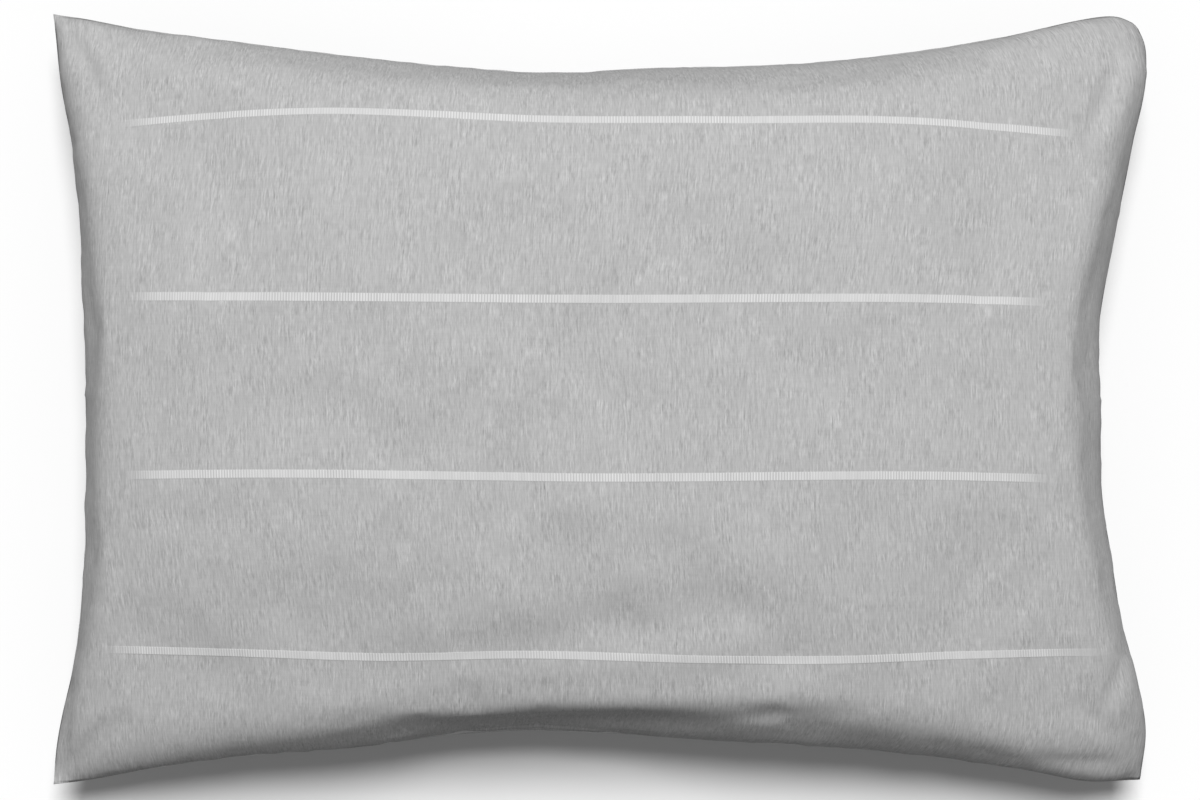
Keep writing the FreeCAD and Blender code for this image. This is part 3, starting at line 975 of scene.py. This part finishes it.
def build_care_label(front):
    tape = plain_cloth("label_tape", (0.86, 0.86, 0.84, 1), 0.5 * MM, roughness=0.45, sheen=0.2)
    low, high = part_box("case_care_label")
    middle = (low.x + high.x) / 2 * CASE_FLAT[0] / (CAD_HIGH.x - CAD_LOW.x)
    edge = -CASE_FLAT[1] / 2
    points, ps, pt = patch(
        front, (middle - 17.5 * MM, middle + 17.5 * MM), (edge + 2 * MM, edge + 57 * MM),
        (8, 14), -2.0 * MM,
    )
    mesh = grid_mesh("case_care_label", points, ps, pt, 1)
    label = new_object("case_care_label", mesh, "case", tape, ["case_care_label"])
    return thicken(label, 0.3 * MM)


def build_case(front, back):
    striped = case_cloth("case_cloth_striped", True)
    plain = case_cloth("case_cloth_plain", False)
    top, under, hem = build_panels(front, back, striped, plain)
    flap, flap_hem, fold = build_flap(front, back, plain)
    strips = build_allowances(front, back)
    hem_row, flap_row = build_case_stitching(back)
    label = build_care_label(front)
    for piece in [top, under, hem, flap, flap_hem, fold, *strips, hem_row, flap_row, label]:
        flatten_with_case(piece)


# The insert


def insert_surfaces(front, back):
    """The ticking bag inside the case, clear of it everywhere."""
    piping_low, piping_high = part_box("ticking_piping")
    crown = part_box("ticking_top")[1].z - SEAM_Z - 3 * MM
    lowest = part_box("ticking_bottom")[0].z
    half = (
        (piping_high.x - piping_low.x) / 2 - 3 * MM, (piping_high.y - piping_low.y) / 2 - 3 * MM,
    )
    top, bottom = cushion_start(INSERT_FLAT, half, crown, KEEL - 12 * MM, lumps=4 * MM, seed=8.6)
    top, bottom = settle(top, bottom, INSERT_FLAT, seam_draw=0.02, fill_more=1.0, frames=24)
    top, bottom = resample(top, INSERT_CELLS), resample(bottom, INSERT_CELLS)
    top, bottom = fit_outline(top, bottom, INSERT_FLAT, CAD_LOW, CAD_HIGH, inset=19 * MM)
    s, t = flat_grid(INSERT_FLAT, INSERT_CELLS)
    for grid, side, seed in ((top, 1, 51.0), (bottom, -1, 67.0)):
        grid[..., 2] -= droop(s, t, INSERT_FLAT)
        puckers = seam_puckers(s, t, INSERT_FLAT, side, seed, 1.3 * MM)
        grid += normals(grid, side) * puckers[..., None]
    bottom[..., 2] = lowest + lay_flat(bottom[..., 2] - lowest)
    keep_inside(top, front, back, 2.6 * MM)
    keep_inside(bottom, front, back, 5.4 * MM)
    rim = rim_of(top)
    top[rim] = bottom[rim] = (top[rim] + bottom[rim]) / 2
    return top, bottom


def rim_of(grid):
    """Marks the points on the rim of a grid."""
    rim = np.zeros(grid.shape[:2], bool)
    rim[0] = rim[-1] = rim[:, 0] = rim[:, -1] = True
    return rim


def keep_inside(grid, front, back, clear):
    """Moves the points that come too near the case. The rim leaves room for the piping."""
    case_mesh, _, _ = sealed_mesh("limit", front.grid, back.grid)
    points = [v.co.copy() for v in case_mesh.vertices]
    tree = BVHTree.FromPolygons(points, [p.vertices[:] for p in case_mesh.polygons])
    bpy.data.meshes.remove(case_mesh)
    rim = rim_of(grid)
    for i, j in np.ndindex(*rim.shape):
        here = Vector(grid[i, j])
        room = 7 * MM if rim[i, j] else clear
        for _ in range(4):
            near, out, _, _ = tree.find_nearest(here)
            inside = (near - here).dot(out)
            if inside < room:
                here = here - out * (room - inside)
        grid[i, j] = here


def build_ticking(top, bottom):
    cotton = plain_cloth(
        "ticking_cotton", (0.84, 0.84, 0.82, 1), 0.55 * MM, roughness=0.88, sheen=0.1
    )
    s, t = flat_grid(INSERT_FLAT, INSERT_CELLS)
    mesh, front_ids, back_ids = sealed_mesh("ticking", top, bottom)
    flat_s, flat_t = np.zeros(len(mesh.vertices)), np.zeros(len(mesh.vertices))
    for ids in (front_ids, back_ids):
        flat_s[ids.ravel()], flat_t[ids.ravel()] = s.ravel(), t.ravel()
    set_flat(mesh, flat_s, flat_t)
    nodes = ["ticking_top", "ticking_bottom"]
    bag = new_object("ticking", mesh, "insert", cotton, nodes)


def build_piping(top):
    """The covered cord that runs round the seam of the ticking."""
    cotton = plain_cloth(
        "piping_cotton", (0.82, 0.82, 0.79, 1), 0.9 * MM, roughness=0.85, sheen=0.1, twill=True
    )
    ring = np.concatenate([top[:-1, 0], top[-1, :-1], top[:0:-1, -1], top[0, :0:-1]])
    for _ in range(3):
        ring = 0.5 * ring + 0.25 * (np.roll(ring, 1, 0) + np.roll(ring, -1, 0))
    centre = ring.mean(0) * [1, 1, 0]
    out = np.cross(np.roll(ring, -1, 0) - np.roll(ring, 1, 0), [0, 0, 1])
    out /= np.linalg.norm(out, axis=1, keepdims=True)
    out *= np.sign((out * (ring - centre) * [1, 1, 0]).sum(1))[:, None]
    mesh = tube_mesh("ticking_piping", ring + out * 1.3 * MM, 2.1 * MM, sides=12, closed=True)
    new_object("ticking_piping", mesh, "insert", cotton, ["ticking_piping"])


def build_closing_stitches(top):
    sewing = thread("ticking_sewing_thread", (0.88, 0.88, 0.86, 1))
    face = Panel(top, 1, INSERT_FLAT)
    row = INSERT_FLAT[0] / 2 - 5.5 * MM
    mesh = stitches("closing_stitches", lambda at, lift: face.at(row, at, lift), 0.11)
    new_object("closing_stitches", mesh, "insert", sewing, ["closing_stitches"])


def build_insert_label(bottom):
    tape = plain_cloth(
        "insert_label_tape", (0.87, 0.87, 0.86, 1), 0.5 * MM, roughness=0.45, sheen=0.2
    )
    under = Panel(bottom, -1, INSERT_FLAT)
    low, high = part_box("insert_label")
    middle = (low.x + high.x) / 2 * INSERT_FLAT[0] / (CAD_HIGH.x - CAD_LOW.x - 0.04)
    edge = -INSERT_FLAT[1] / 2
    points, ps, pt = patch(
        under, (middle - 30 * MM, middle + 30 * MM), (edge + 3 * MM, edge + 42 * MM),
        (12, 12), 0.9 * MM,
    )
    mesh = grid_mesh("insert_label", points, ps, pt, -1)
    label = new_object("insert_label", mesh, "insert", tape, ["insert_label"])
    thicken(label, 0.3 * MM)


def build_fibre(top, bottom):
    """The filling, a little inside the ticking."""
    gap = 2.2 * MM
    top, bottom = resample(top, FIBRE_CELLS), resample(bottom, FIBRE_CELLS)
    top, bottom = top - normals(top, 1) * gap, bottom - normals(bottom, -1) * gap
    rim = rim_of(top)
    top[rim] = bottom[rim] = (top[rim] + bottom[rim]) / 2 * [0.985, 0.98, 1]
    mesh, _, _ = sealed_mesh("fibre_fill", top, bottom)
    core = new_object(
        "fibre_fill_core", mesh, "insert", fibre("hollow_fibre"), ["fibre_fill"]
    )


def build_insert(top, bottom):
    build_ticking(top, bottom)
    build_piping(top)
    build_closing_stitches(top)
    build_insert_label(bottom)
    build_fibre(top, bottom)


# Stage


def build_floor():
    """A pale floor. It sends no light back up, so that the pillow's slopes stay darker."""
    reach, below = 12.0, -0.4 * MM
    corners = [(x * reach, y * reach, below) for x, y in ((-1, -1), (1, -1), (1, 1), (-1, 1))]
    mesh = bpy.data.meshes.new("floor")
    mesh.from_pydata(corners, [], [(0, 1, 2, 3)])
    n = Nodes("floor_paint")
    n.shader.inputs["Base Color"].default_value = grey(0.92)
    n.shader.inputs["Roughness"].default_value = 0.9
    mesh.materials.append(n.material)
    floor = linked("floor", mesh)
    floor.visible_diffuse = False


def build_sky():
    """Even light from all round, which the camera sees as nearly white."""
    lit, seen = 0.19, 0.95
    world = bpy.data.worlds.new("studio")
    bpy.context.scene.world = world
    world.use_nodes = True
    sky = world.node_tree.nodes["Background"]
    sky.inputs["Color"].default_value = grey(1)
    to_camera = world.node_tree.nodes.new("ShaderNodeLightPath").outputs["Is Camera Ray"]
    level = world.node_tree.nodes.new("ShaderNodeMapRange")
    level.inputs["To Min"].default_value = lit
    level.inputs["To Max"].default_value = seen
    world.node_tree.links.new(to_camera, level.inputs["Value"])
    world.node_tree.links.new(level.outputs[0], sky.inputs["Strength"])


def build_stage():
    build_floor()
    build_sky()
    bpy.context.scene.view_settings.view_transform = "Standard"

    key = bpy.data.lights.new("key", "SUN")
    key.energy = 3.1
    key.angle = math.radians(24)
    from_key = Vector((0.03, 0.44, 1.0))
    linked("key", key).rotation_euler = from_key.to_track_quat("Z", "Y").to_euler()

    camera = bpy.data.cameras.new("camera")
    camera.lens = LENS
    camera.sensor_width = SENSOR
    camera.clip_end = 50
    view = linked("camera", camera)
    view.location = (0, 0, SEAM_Z + VIEW_HEIGHT)
    bpy.context.scene.camera = view


def main():
    front, back = case_surfaces()
    front, back = Panel(front, 1, CASE_FLAT), Panel(back, -1, CASE_FLAT)
    build_case(front, back)
    top, bottom = insert_surfaces(front, back)
    build_insert(top, bottom)
    build_stage()


main()
